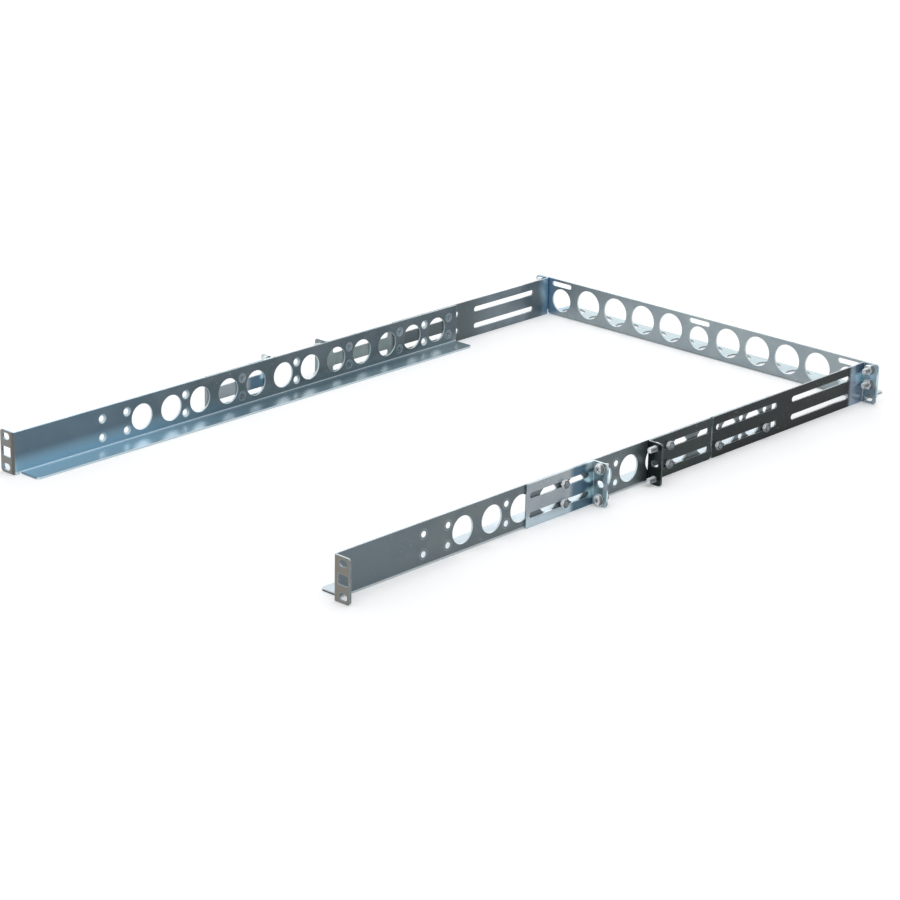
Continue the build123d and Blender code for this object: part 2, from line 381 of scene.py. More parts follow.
def edge_burnish() -> bpy.types.NodeTree:
    """Worn edges and a painted edge highlight: where the rounded normal leaves the face's own one.

    Returns:
        A group that gives a mask from 0 on the faces to 1 on the edges.
    """
    effect = Effect("edge_burnish", {"Width": 0.9 * MM, "Break-up per metre": 350.0})
    tree, board, given, result = effect.start()
    rounded = board.lay("ShaderNodeBevel", {"samples": 6}, Radius=given.outputs["Width"])
    flat = board.lay("ShaderNodeNewGeometry")
    dot = board.lay("ShaderNodeVectorMath", {"operation": "DOT_PRODUCT"})
    board.feed(dot.inputs[0], rounded.outputs[0])
    board.feed(dot.inputs[1], flat.outputs["Normal"])
    on_face, on_edge, spared, brightened, least_wear = 0.995, 0.86, 0.3, 0.6, 0.35
    edge = board.spread(dot.outputs["Value"], on_face, on_edge)
    rubs = board.lay("ShaderNodeTexNoise", Vector=given.outputs["Vector"],
                     Scale=given.outputs["Break-up per metre"], Detail=2.0)
    worn = board.spread(rubs.outputs["Fac"], spared, brightened, to_low=least_wear)
    board.feed(result.inputs["Mask"], board.calc("MULTIPLY", edge, worn, clamp=True))
    return tree


def seat_rings() -> bpy.types.NodeTree:
    """Faint rings that the countersinks pressed into the web round its screw holes.

    Returns:
        A group that gives a mask from 0 to 1 on the rings.
    """
    effect = Effect("seat_rings", {"Radius": 4.9 * MM, "Width": 0.7 * MM, "Pair height": 9.8 * MM})
    tree, board, given, result = effect.start()
    place = board.lay("ShaderNodeSeparateXYZ", Vector=given.outputs["Vector"]).outputs
    rise = board.calc("SUBTRACT", board.calc("ABSOLUTE", place["Z"]), given.outputs["Pair height"])
    first, pitch, lone_pairs = 144.6 * MM, 79.2 * MM, (112.4 * MM, 580.2 * MM)
    wrapped = board.calc("WRAP", place["Y"], first + pitch / 2, first - pitch / 2)
    along = [board.calc("SUBTRACT", wrapped, first)]
    along += [board.calc("SUBTRACT", place["Y"], lone) for lone in lone_pairs]
    rise_squared = board.calc("MULTIPLY", rise, rise)
    reach = [board.calc("SQRT", board.calc("MULTIPLY_ADD", y, y, rise_squared)) for y in along]
    nearest = board.calc("MINIMUM", reach[0], board.calc("MINIMUM", reach[1], reach[2]))
    off = board.calc("ABSOLUTE", board.calc("SUBTRACT", nearest, given.outputs["Radius"]))
    share = board.calc("DIVIDE", off, given.outputs["Width"])
    ring = board.spread(share, 1.0, 0.0, smooth=True)
    drilled = board.calc("GREATER_THAN", place["Y"], lone_pairs[0] - pitch / 4)
    board.feed(result.inputs["Mask"], board.calc("MULTIPLY", ring, drilled))
    return tree


@dataclass
class Effects:
    """The node groups, built once: the effects of the finishes and the sheets' sharp edges."""

    bloom: bpy.types.NodeTree
    grain: bpy.types.NodeTree
    marks: bpy.types.NodeTree
    edges: bpy.types.NodeTree
    rings: bpy.types.NodeTree
    sharp: bpy.types.NodeTree

    @classmethod
    def build(cls) -> "Effects":
        """Build each group once."""
        return cls(plating_bloom(), rolling_grain(), handling_marks(), edge_burnish(), seat_rings(),
                   sharp_edges())


class Gauge(Enum):
    """What a fade goes by: a place in the frame in millimetres, or the way the surface faces."""

    ALONG_X = ("Object", "X", MM)
    ALONG_Y = ("Object", "Y", MM)
    ALONG_Z = ("Object", "Z", MM)
    FACING_X = ("Normal", "X", 1.0)
    FACING_Y = ("Normal", "Y", 1.0)
    FACING_Z = ("Normal", "Z", 1.0)


@dataclass(frozen=True)
class Fade:
    """A limit of a tint, from the value at which it is gone to the one at which it is whole.

    A crisp fade keeps off the unevenness of the others, and either side takes the value unsigned.
    """

    gauge: Gauge
    gone: float
    whole: float
    either_side: bool = False
    crisp: bool = False

    def mask(self, board: Board, ragged: bpy.types.NodeSocket) -> bpy.types.NodeSocket:
        """Work out the fade over the surface.

        Args:
            board: The material's board.
            ragged: Unevenness in metres, added to a place in the frame.

        Returns:
            The mask's socket.
        """
        source, part, unit = self.gauge.value
        vector = board.lay("ShaderNodeTexCoord").outputs[source]
        value = board.lay("ShaderNodeSeparateXYZ", Vector=vector).outputs[part]
        if self.either_side:
            value = board.calc("ABSOLUTE", value)
        if source == "Object" and not self.crisp:
            value = board.calc("ADD", value, ragged)
        return board.spread(value, self.gone * unit, self.whole * unit, smooth=True)


@dataclass(frozen=True)
class Tint:
    """Part of a piece painted another shade, mostly painted light, such as a painted highlight on a
    bend and a painted reflection on a web's foot.

    Its share is how far it covers the plain finish, and matt takes away as much of the metal.
    """

    colour: Colour
    share: float
    fades: tuple[Fade, ...]
    matt: float = 0.0

    def cover(self, board: Board, ragged: bpy.types.NodeSocket) -> bpy.types.NodeSocket:
        """Work out how far the tint covers the surface.

        Args:
            board: The material's board.
            ragged: Unevenness of the limits in metres.

        Returns:
            The mask's socket.
        """
        mask = self.fades[0].mask(board, ragged)
        for fade in self.fades[1:]:
            mask = board.calc("MULTIPLY", mask, fade.mask(board, ragged))
        return board.calc("MULTIPLY", mask, self.share)


@dataclass(frozen=True)
class ZincPlate:
    """Bright zinc plate on rolled steel sheet or on a turned fastener.

    Body and thin are the two shades of its cloudy plating. Edge is the worn metal of scratches and
    rings, and on the edges also a painted highlight. The up-facing colour is painted top light: faces
    that look up take it, with less metal. Most tints are painted highlights, reflections and shade.
    """

    name: str
    body: Colour
    thin: Colour
    edge: Colour
    shelf: Colour
    tints: tuple[Tint, ...] = ()
    metal: float = 0.62
    shelf_metal: float = 0.4
    rolling: Rolling = Rolling.ALONG_Y
    roughness: float = 0.27
    bloom_scale: float = 28.0
    lines: float = 900.0
    relief: float = 0.22
    scratches: float = 0.5
    streaks: float = 0.15
    ring: float = 0.0
    rub_width: float = 0.9 * MM
    rub: float = 0.75
    unevenness: ClassVar[float] = 2.5 * MM
    # The painted top light: how far a face must look up, and how much the clouds break it.
    shelf_facing: ClassVar[tuple[float, float]] = (0.35, 0.9)
    shelf_clouds: ClassVar[float] = 0.18
    mark_colour: ClassVar[float] = 0.25
    mark_depth: ClassVar[float] = 0.8
    mark_roughness: ClassVar[float] = 0.12
    line_depth: ClassVar[float] = 0.02 * MM
    line_roughness: ClassVar[float] = 0.4
    cloud_roughness: ClassVar[float] = 0.05
    edge_gloss: ClassVar[float] = 0.08

    def build(self, effects: Effects) -> bpy.types.Material:
        """Make the material.

        Args:
            effects: The shared node groups.

        Returns:
            The finished material.
        """
        material = bpy.data.materials.new(self.name)
        board = Board.cleared(material)
        place = board.lay("ShaderNodeTexCoord").outputs["Object"]
        along = board.lay("ShaderNodeMapping", Vector=place, Rotation=self.rolling.value).outputs[0]

        [bloom] = self.use(board, effects.bloom, place, Patches_per_metre=self.bloom_scale)
        lines, bands = self.use(board, effects.grain, along, Lines_per_metre=self.lines)
        [marks] = self.use(board, effects.marks, place, Share=self.scratches)
        [edges] = self.use(board, effects.edges, place, Width=self.rub_width)

        clouds = board.calc("MULTIPLY", bloom, 1.0 - self.streaks)
        cloud = board.calc("MULTIPLY_ADD", bands, self.streaks, clouds)
        # Painted top light: faces that look up take the up-facing colour and less metal, broken by
        # the clouds.
        normal = board.lay("ShaderNodeTexCoord").outputs["Normal"]
        upright = board.lay("ShaderNodeSeparateXYZ", Vector=normal).outputs["Z"]
        shelf = board.spread(upright, *self.shelf_facing, smooth=True)
        brightened = board.calc("MULTIPLY_ADD", cloud, -self.shelf_clouds, shelf, clamp=True)
        ragged = board.spread(bloom, 0.0, 1.0, -self.unevenness, self.unevenness)
        colour = board.blend(cloud, self.body, self.thin)
        colour = board.blend(brightened, colour, self.shelf)
        metallic = board.spread(shelf, 0.0, 1.0, self.metal, self.shelf_metal)
        # Tints: mostly painted highlights, reflections and shade, laid by place and facing.
        for tint in self.tints:
            mask = tint.cover(board, ragged)
            colour = board.blend(mask, colour, tint.colour)
            if tint.matt:
                metallic = board.calc("MULTIPLY_ADD", mask, -tint.matt, metallic, clamp=True)
        if self.ring:
            [rings] = self.use(board, effects.rings, place)
            colour = board.blend(board.calc("MULTIPLY", rings, self.ring), colour, self.edge)
        colour = board.blend(board.calc("MULTIPLY", marks, self.mark_colour), colour, self.edge)
        # Edges: wear and a painted highlight in the edge colour.
        colour = board.blend(board.calc("MULTIPLY", edges, self.rub), colour, self.edge)

        line_share = self.relief * self.line_roughness
        rough = board.calc("MULTIPLY_ADD", lines, line_share, self.roughness)
        rough = board.calc("MULTIPLY_ADD", bloom, self.cloud_roughness, rough)
        rough = board.calc("MULTIPLY_ADD", edges, -self.edge_gloss, rough)
        rough = board.calc("MULTIPLY_ADD", marks, self.mark_roughness, rough, clamp=True)

        height = board.calc("MULTIPLY_ADD", marks, -self.mark_depth, lines)
        bump = board.lay("ShaderNodeBump", Strength=self.relief, Distance=self.line_depth,
                         Height=height)
        shader = board.lay("ShaderNodeBsdfPrincipled", Base_Color=colour, Metallic=metallic,
                           Roughness=rough, Normal=bump.outputs[0])
        board.lay("ShaderNodeOutputMaterial", Surface=shader.outputs[0])
        return material

    @staticmethod
    def use(board: Board, group: bpy.types.NodeTree, vector: bpy.types.NodeSocket,
            **inputs: object) -> list[bpy.types.NodeSocket]:
        """Place a shared group in the material.

        Args:
            board: The material's board.
            group: The node group.
            vector: Coordinates for its pattern.
            inputs: Its other inputs.

        Returns:
            The group's outputs.
        """
        node = board.lay("ShaderNodeGroup", {"node_tree": group}, Vector=vector, **inputs)
        return list(node.outputs)


# Sheet metal


def sharp_edges(least: float = math.radians(32.0),
                relief: tuple[float, float] = (8.0 * MM, -18.5 * MM),
                reach: float = 1.8 * MM) -> bpy.types.NodeTree:
    """Mark the edges to break: the sharp ones, but for a rail's relief.

    The relief is where its ear and shelf bends meet, and a bevel would throw up a needle there.

    Args:
        least: Smallest angle of a sharp edge.
        relief: Y of the relief's middle and Z of its top.
        reach: How far the relief goes to the front and to the rear of its middle.

    Returns:
        A geometry node group that weights the edges for a bevel.
    """
    tree = bpy.data.node_groups.new("sharp_edges", "GeometryNodeTree")
    for way in ("INPUT", "OUTPUT"):
        tree.interface.new_socket("Geometry", in_out=way, socket_type="NodeSocketGeometry")
    board = Board(tree)
    given, result = tree.nodes.new("NodeGroupInput"), tree.nodes.new("NodeGroupOutput")
    position = board.lay("GeometryNodeInputPosition").outputs[0]
    place = board.lay("ShaderNodeSeparateXYZ", Vector=position).outputs
    off = board.calc("ABSOLUTE", board.calc("SUBTRACT", place["Y"], relief[0]))
    outside = board.calc("MAXIMUM", board.calc("GREATER_THAN", off, reach),
                         board.calc("GREATER_THAN", place["Z"], relief[1]))
    angle = board.lay("GeometryNodeInputMeshEdgeAngle").outputs["Unsigned Angle"]
    weight = board.calc("MULTIPLY", board.calc("GREATER_THAN", angle, least), outside)
    marked = board.lay("GeometryNodeStoreNamedAttribute", {"data_type": "FLOAT", "domain": "EDGE"},
                       Geometry=given.outputs["Geometry"], Name="bevel_weight_edge", Value=weight)
    board.feed(result.inputs["Geometry"], marked.outputs["Geometry"])
    return tree


@dataclass
class SheetPiece:
    """A sheet, nut or washer that the CAD node gives, with its edges broken and its finish."""

    node: str
    finish: ZincPlate
    slot: Slot
    edge_break: float = 0.18 * MM
    flat_angle: float = math.radians(1.0)

    def dress(self, effects: Effects, materials: dict[str, bpy.types.Material]) -> None:
        """Break the edges of the CAD node and give it its finish.

        Args:
            effects: The shared node groups.
            materials: Finishes that were made before, by name; a new one is added.
        """
        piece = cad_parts[self.node]
        weld = piece.modifiers.new("weld", "WELD")
        weld.merge_threshold = 0.001 * MM
        flats = piece.modifiers.new("flats", "DECIMATE")
        flats.decimate_type = "DISSOLVE"
        flats.angle_limit = self.flat_angle
        choice = piece.modifiers.new("sharp edges", "NODES")
        choice.node_group = effects.sharp
        edges = piece.modifiers.new("broken edges", "BEVEL")
        edges.width = self.edge_break
        edges.segments = 2
        edges.limit_method = "WEIGHT"
        edges.use_clamp_overlap = False
        shading = piece.modifiers.new("shading", "WEIGHTED_NORMAL")
        shading.keep_sharp = False
        shading.weight = 100
        if self.finish.name not in materials:
            materials[self.finish.name] = self.finish.build(effects)
        piece.material_slots[0].material = materials[self.finish.name]
        log.info("%s: %s", self.node, self.finish.name)


# Fasteners


@dataclass(frozen=True)
class Thread:
    """A metric screw thread, by the radius of its crest and its pitch."""

    major: float
    pitch: float
    steps: int = 20
    depth_share: ClassVar[float] = 0.6134

    @property
    def minor(self) -> float:
        """Radius at the foot of the thread."""
        return self.major - self.depth_share * self.pitch

    def groove(self, start: float, end: float) -> bpy.types.Object:
        """Model the groove as a closed coil, to be cut out of a shank.

        Args:
            start: Height of the first turn.
            end: Height that the last turn passes.

        Returns:
            The coil round the Z axis.
        """
        beyond, mouth, foot = (share * self.pitch for share in (0.05, 0.46, 0.07))
        bpy.ops.mesh.primitive_plane_add(size=1.0, rotation=(math.pi / 2, 0.0, 0.0))
        coil = new_piece("groove")
        bpy.ops.object.transform_apply(location=True, rotation=True, scale=True)
        edit(select_mesh,
             lambda: bpy.ops.mesh.delete(type="ONLY_FACE"),
             lambda: bpy.ops.mesh.select_all(action="DESELECT"))
        for x, radius, half in ((0.5, self.major + beyond, mouth), (-0.5, self.minor, foot)):
            select_points(coil, lambda at: at.x * x > 0)
            edit(lambda: bpy.ops.transform.resize(value=(0.0, 1.0, 2 * half)),
                 lambda: bpy.ops.transform.translate(value=(radius - x, 0.0, start)))
        screw = coil.modifiers.new("turns", "SCREW")
        screw.screw_offset = self.pitch
        screw.iterations = math.ceil((end - start) / self.pitch)
        screw.steps = screw.render_steps = self.steps
        bpy.ops.object.modifier_apply(modifier=screw.name)
        edit(select_mesh,
             lambda: bpy.ops.mesh.fill_holes(sides=4),
             select_mesh,
             lambda: bpy.ops.mesh.normals_make_consistent(inside=False))
        return coil


@dataclass(frozen=True)
class Screw:
    """A cross-recessed machine screw along +Z, as the CAD model places it."""

    name: str
    thread: Thread
    head: float
    crown: tuple[tuple[float, float], ...]
    thread_start: float
    length: float
    recess_top: float
    recess_depth: float = 1.9 * MM
    recess_share: float = 0.56
    recess_width: float = 1.15 * MM
    tip: float = 0.6 * MM
    sides: int = 40
    smooth: ClassVar[float] = math.radians(34.0)

    def outline(self) -> list[tuple[float, float]]:
        """Half section from the head's middle to the tip's, as radius and height."""
        major, end = self.thread.major, self.length
        return [*self.crown, (major, end - self.tip), (major - self.tip, end), (0.0, end)]

    def model(self) -> bpy.types.Object:
        """Turn the blank, cut its thread and punch its recess.

        Returns:
            The screw, modelled once and copied later.
        """
        points = self.outline()
        bpy.ops.mesh.primitive_plane_add(size=MM)
        screw = new_piece(self.name)
        first = points[0]
        edit(select_mesh,
             lambda: bpy.ops.mesh.merge(type="CENTER"),
             lambda: bpy.ops.transform.translate(value=(first[0], 0.0, first[1])))
        bpy.ops.object.mode_set(mode="EDIT")
        for here, there in zip(points, points[1:]):
            step = (there[0] - here[0], 0.0, there[1] - here[1])
            bpy.ops.mesh.extrude_region_move(TRANSFORM_OT_translate={"value": step})
        select_mesh()
        bpy.ops.mesh.spin(steps=self.sides, angle=FULL_TURN, center=(0.0, 0.0, 0.0),
                          axis=(0.0, 0.0, 1.0))
        select_mesh()
        bpy.ops.mesh.remove_doubles(threshold=0.002 * MM)
        bpy.ops.mesh.normals_make_consistent(inside=False)
        bpy.ops.object.mode_set(mode="OBJECT")
        cut(screw, self.thread.groove(self.thread_start, self.length + self.thread.pitch))
        for wing in self.recess():
            cut(screw, wing)
        pick(screw)
        bpy.ops.object.shade_smooth_by_angle(angle=self.smooth)
        return screw

    def recess(self) -> list[bpy.types.Object]:
        """Model the punch of the cross recess as two tapered wings.

        Returns:
            The cutting shapes.
        """
        span = self.recess_share * 2 * self.head
        deep, overrun = self.recess_depth, 0.3 * MM
        length_taper, width_taper = 0.38, 0.62
        middle = self.recess_top + deep / 2
        wings = []
        for sizes, tapers in (((span, self.recess_width), (length_taper, width_taper)),
                              ((self.recess_width, span), (width_taper, length_taper))):
            bpy.ops.mesh.primitive_cube_add(size=1.0, location=(0.0, 0.0, middle - overrun),
                                            scale=(*sizes, deep + 2 * overrun))
            wing = new_piece("wing")
            bpy.ops.object.transform_apply(location=True, rotation=True, scale=True)
            select_points(wing, lambda at: at.z > middle)
            edit(lambda shape=(*tapers, 1.0): bpy.ops.transform.resize(value=shape))
            wings.append(wing)
        return wings


@dataclass
class ScrewSet:
    """The screws of one CAD node, copied from a model and set in their places."""

    node: str
    body: str
    pattern: bpy.types.Object
    places: list[Matrix]
    material: bpy.types.Material
    turn: ClassVar[float] = math.radians(37.0)

    def build(self) -> None:
        """Copy the screw to each place and let the copies stand for the CAD node."""
        for number, place in enumerate(self.places, start=1):
            pick(self.pattern)
            bpy.ops.object.duplicate(linked=False)
            piece = new_piece(f"{self.node[:-1]}_{number}")
            piece.matrix_world = place @ Matrix.Rotation(self.turn * number, 4, "Z")
            bpy.ops.object.transform_apply(location=True, rotation=True, scale=True)
            piece.data.materials.clear()
            piece.data.materials.append(self.material)
            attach(piece, self.body)
            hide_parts(self.node)
            log.info("%s on %s", piece.name, self.body)


# The rail pair


ALONG_X, ALONG_Y, ALONG_Z, FACING_X, FACING_Y, FACING_Z = Gauge
# Edge colour of the sheets: worn metal for scratches and rings, and a painted highlight on the edges.
RUB_AND_GLINT = srgb(214, 222, 226)
# Painted top light for up-facing faces of brackets and flat heads.
TOP_LIGHT = srgb(190, 200, 206)
# Edge colour of the fasteners: worn metal and a painted highlight.
BRIGHT = srgb(240, 244, 246)
# Painted highlight on cut walls.
CUT = srgb(222, 238, 244)
FRONT_FACE = Fade(FACING_Y, -0.35, -0.85)
UPRIGHT = Fade(FACING_Z, 0.75, 0.35)
LEVEL = Fade(FACING_Z, 0.35, 0.75)
FOOT = Fade(ALONG_Z, -6.0, -18.0)
FOLD = Fade(ALONG_Z, -18.3, -19.2, crisp=True)
ABOVE_FOLD = Fade(ALONG_Z, -19.7, -18.9, crisp=True)
BELOW_TOP = Fade(ALONG_Z, 21.6, 21.2, crisp=True)
BEHIND_EAR = Fade(ALONG_Y, 2.4, 3.0, crisp=True)
EAR_ONLY = Fade(ALONG_Y, 3.4, 2.6, crisp=True)
SHELF_ONLY = Fade(ALONG_Z, -19.9, -20.3, crisp=True)
OFF_THE_WEB = Fade(FACING_X, 0.92, 0.6, either_side=True)
# Painted highlight on the walls of the holes and on the web's top edge.
CUT_WALLS = Tint(CUT, 1.0, (OFF_THE_WEB, ABOVE_FOLD, BELOW_TOP, BEHIND_EAR), matt=0.45)
# Painted shade on faces that look up.
DARK_TOP = Tint(srgb(84, 94, 98), 0.85, (LEVEL,))
# Painted highlight on the flange's front end.
SHELF_FRONT = Tint(srgb(232, 240, 244), 0.9, (FRONT_FACE, SHELF_ONLY, BEHIND_EAR))
INNER_RIM = Fade(ALONG_X, 196.2, 195.7, either_side=True, crisp=True)
WEB_SIDE = Fade(ALONG_X, 220.6, 221.4, either_side=True, crisp=True)
NEAR_BEND = Fade(ALONG_X, 226.5, 224.0, either_side=True, crisp=True)
# Painted highlight along the flange's free edge.
SHELF_RIM = Tint(srgb(190, 208, 216), 0.6, (INNER_RIM,))
# Painted reflection of the floor on the outside of the bottom bend.
HEEL = Tint(srgb(216, 228, 234), 0.85, (Fade(ALONG_Z, -19.2, -20.2, crisp=True), WEB_SIDE))
# Painted shade on the ear's front face near its bend.
EAR_BEND = Tint(srgb(86, 86, 84), 0.75, (NEAR_BEND, EAR_ONLY, FRONT_FACE))
# Left rail, its tints all painted light: a darker web front, painted reflections of the flange on the
# web's foot, lighter painted patches on the flange, a painted highlight on the fold, and a warm
# painted reflection on the ear's front face.
RAIL_LEFT = ZincPlate(
    "zinc_rail_left", srgb(92, 105, 111), srgb(76, 91, 98), RUB_AND_GLINT, srgb(94, 120, 133),
    (Tint(srgb(88, 112, 128), 0.8, (Fade(ALONG_Y, 260, 60), UPRIGHT)),
     Tint(srgb(156, 194, 214), 0.9, (Fade(ALONG_Z, 1, -17, crisp=True),
                                     Fade(ALONG_Y, 420, 60, crisp=True), UPRIGHT)),
     Tint(srgb(134, 150, 156), 0.8, (FOOT, Fade(ALONG_Y, 160, 380), UPRIGHT)),
     Tint(srgb(158, 198, 220), 0.85, (Fade(ALONG_Y, 400, 40), LEVEL)),
     Tint(srgb(142, 166, 176), 0.75, (Fade(ALONG_X, 214, 198, either_side=True),
                                      Fade(ALONG_Y, 320, 440), LEVEL)),
     Tint(srgb(146, 164, 172), 0.85, (Fade(ALONG_Y, 500, 620), LEVEL)),
     Tint(srgb(225, 236, 242), 0.7, (FOLD, UPRIGHT)),
     CUT_WALLS, SHELF_FRONT, SHELF_RIM, HEEL,
     Tint(srgb(128, 128, 123), 0.95, (FRONT_FACE, EAR_ONLY)), EAR_BEND),
    relief=0.14, ring=0.25)
# Right rail: the darker web front is painted shade, the ear's warm front face a painted reflection,
# and the up-facing colour painted top light.
RAIL_RIGHT = ZincPlate(
    "zinc_rail_right", srgb(108, 118, 120), srgb(96, 107, 112), RUB_AND_GLINT, srgb(182, 196, 205),
    (Tint(srgb(100, 114, 122), 0.7, (Fade(ALONG_Y, 160, 40), UPRIGHT)),
     CUT_WALLS, SHELF_FRONT, SHELF_RIM, HEEL,
     Tint(srgb(128, 124, 116), 0.95, (FRONT_FACE, EAR_ONLY))),
    relief=0.14, ring=0.22)
# Front mid brackets: the lighter foot, the dark band, the bright patches near the ear, the ear's
# front-face colour and its light outer rim are painted light, shade and reflections.
BRACKET_FRONT = ZincPlate(
    "zinc_bracket_front", srgb(158, 166, 171), srgb(144, 154, 160), RUB_AND_GLINT, srgb(160, 172, 178),
    (Tint(srgb(196, 214, 224), 0.9, (FOOT,)),
     Tint(srgb(68, 102, 122), 0.95, (Fade(ALONG_Y, 310, 319, crisp=True),)),
     Tint(srgb(204, 242, 250), 0.95, (Fade(ALONG_Y, 334, 343), Fade(ALONG_Z, 0.0, -6),
                                      Fade(ALONG_Z, -16, -11))),
     Tint(srgb(190, 228, 238), 0.8, (Fade(ALONG_Y, 331, 336), Fade(ALONG_Z, 3, 6),
                                     Fade(ALONG_Z, 15, 12))),
     Tint(srgb(214, 232, 238), 0.85, (Fade(ALONG_Y, 334, 342), Fade(ALONG_Z, 15, 19))),
     Tint(srgb(128, 141, 147), 0.9, (FRONT_FACE,)),
     Tint(srgb(206, 220, 226), 0.8, (FRONT_FACE, Fade(ALONG_X, 237, 240, either_side=True))),
     Tint(srgb(168, 192, 200), 0.7, (FRONT_FACE, FOOT))),
    roughness=0.2, relief=0.03, streaks=0.06)
BRACKET_MID_LEFT = ZincPlate(
    "zinc_bracket_mid_left", srgb(136, 149, 149), srgb(122, 136, 137), RUB_AND_GLINT, TOP_LIGHT, relief=0.08)
# Right rear mid bracket: the near-black body is painted shade and dark reflection, and the tops
# painted shade.
BRACKET_MID_RIGHT = ZincPlate(
    "zinc_bracket_mid_right", srgb(45, 54, 54), srgb(36, 45, 46), RUB_AND_GLINT, TOP_LIGHT, (DARK_TOP,),
    roughness=0.2, relief=0.06, rub=0.5)
# Left rear bracket: the darker bands are painted shade, and the light band at the bend a painted
# highlight.
BRACKET_REAR_LEFT = ZincPlate(
    "zinc_bracket_rear_left", srgb(128, 141, 149), srgb(104, 116, 123), RUB_AND_GLINT, TOP_LIGHT,
    (Tint(srgb(78, 89, 91), 0.85, (Fade(ALONG_Y, 705, 645),)),
     Tint(srgb(84, 98, 106), 0.8, (Fade(ALONG_Y, 742, 762),)),
     Tint(srgb(138, 172, 194), 0.85, (Fade(ALONG_Y, 776, 788),))),
    relief=0.1)
# Right rear bracket: the near-black body is a painted dark reflection, the tops painted shade, and
# the bands and bright patches at the bend and on the ear painted highlights.
BRACKET_REAR_RIGHT = ZincPlate(
    "zinc_bracket_rear_right", srgb(27, 34, 35), srgb(21, 28, 29), RUB_AND_GLINT, TOP_LIGHT,
    (DARK_TOP,
     Tint(srgb(166, 180, 198), 0.9, (Fade(ALONG_Y, 765, 772, crisp=True),)),
     Tint(srgb(128, 148, 164), 0.8, (Fade(ALONG_Y, 775, 782, crisp=True),)),
     Tint(srgb(74, 104, 130), 0.8, (Fade(ALONG_Y, 774, 780, crisp=True),
                                    Fade(ALONG_Z, 8, 13, crisp=True))),
     Tint(srgb(196, 236, 250), 0.95, (Fade(ALONG_Y, 776, 781),
                                      Fade(ALONG_Z, -3, 3), Fade(ALONG_Z, 16, 10))),
     Tint(srgb(148, 164, 172), 0.95, (FRONT_FACE,)),
     Tint(srgb(214, 238, 248), 0.85, (FRONT_FACE, Fade(ALONG_X, 231, 236),
                                      Fade(ALONG_Z, -6, 2)))),
    roughness=0.2, relief=0.03, streaks=0.06, rub=0.5)
# Tie bar: the blue patch near its left end is a painted reflection, its cut walls a painted
# highlight, and its up-facing colour painted top light.
BAR = ZincPlate(
    "zinc_bar", srgb(156, 167, 170), srgb(142, 155, 161), RUB_AND_GLINT, srgb(144, 166, 171),
    (Tint(srgb(112, 152, 182), 0.7, (Fade(ALONG_X, -206, -219),)),
     Tint(CUT, 0.6, (Fade(FACING_Y, 0.92, 0.6, either_side=True), ABOVE_FOLD, BELOW_TOP))),
    rolling=Rolling.ALONG_X, relief=0.14)
# Fasteners: faces to the front and to the top are painted light, faces to +X painted shade, and the
# up-facing colour painted top light.
FASTENER = ZincPlate(
    "zinc_fastener", srgb(228, 233, 235), srgb(150, 158, 162), BRIGHT, srgb(240, 245, 248),
    (Tint(srgb(248, 252, 254), 0.9, (Fade(FACING_Y, -0.2, -0.6),), matt=0.5),
     Tint(srgb(250, 253, 255), 0.9, (Fade(FACING_Z, 0.1, 0.45),), matt=0.5),
     Tint(srgb(44, 48, 50), 0.85, (Fade(FACING_X, 0.15, 0.55),))),
    metal=0.85, shelf_metal=0.8, roughness=0.14, bloom_scale=360.0, lines=2200.0, relief=0.06,
    scratches=0.15, rub_width=0.25 * MM, rub=0.5)
# Flat heads: the light edge colour is wear and a painted highlight on the rims, and the up-facing
# colour painted top light.
SUNK_HEAD = ZincPlate(
    "zinc_sunk_head", srgb(124, 138, 146), srgb(106, 121, 130), srgb(214, 222, 227), TOP_LIGHT,
    metal=0.7, roughness=0.22, bloom_scale=120.0, lines=2200.0, relief=0.06,
    scratches=0.15, rub_width=0.3 * MM, rub=0.8)


@dataclass(frozen=True)
class RailSizes:
    """Places along the rails, as the CAD model has them."""

    web_inner: float = 220.55 * MM
    column: float = 232.55 * MM
    pair: float = 9.8 * MM
    hole_pitch: float = 15.875 * MM
    front_clamp: float = 303.0 * MM
    middle_clamp: float = 461.4 * MM
    rear_clamps: tuple[float, float] = (540.6 * MM, 619.8 * MM)
    bar_rear: float = 796.3 * MM
    sheet: float = 1.9 * MM
    washer: float = 1.0 * MM


def towards(at: Vector, x_way: Vector, z_way: Vector) -> Matrix:
    """Place whose local Z points a given way.

    Args:
        at: Origin of the place.
        x_way: Direction of its X.
        z_way: Direction of its Z.

    Returns:
        The 4x4 placement.
    """
    turn = Matrix((x_way, z_way.cross(x_way), z_way)).transposed().to_4x4()
    return Matrix.Translation(at) @ turn


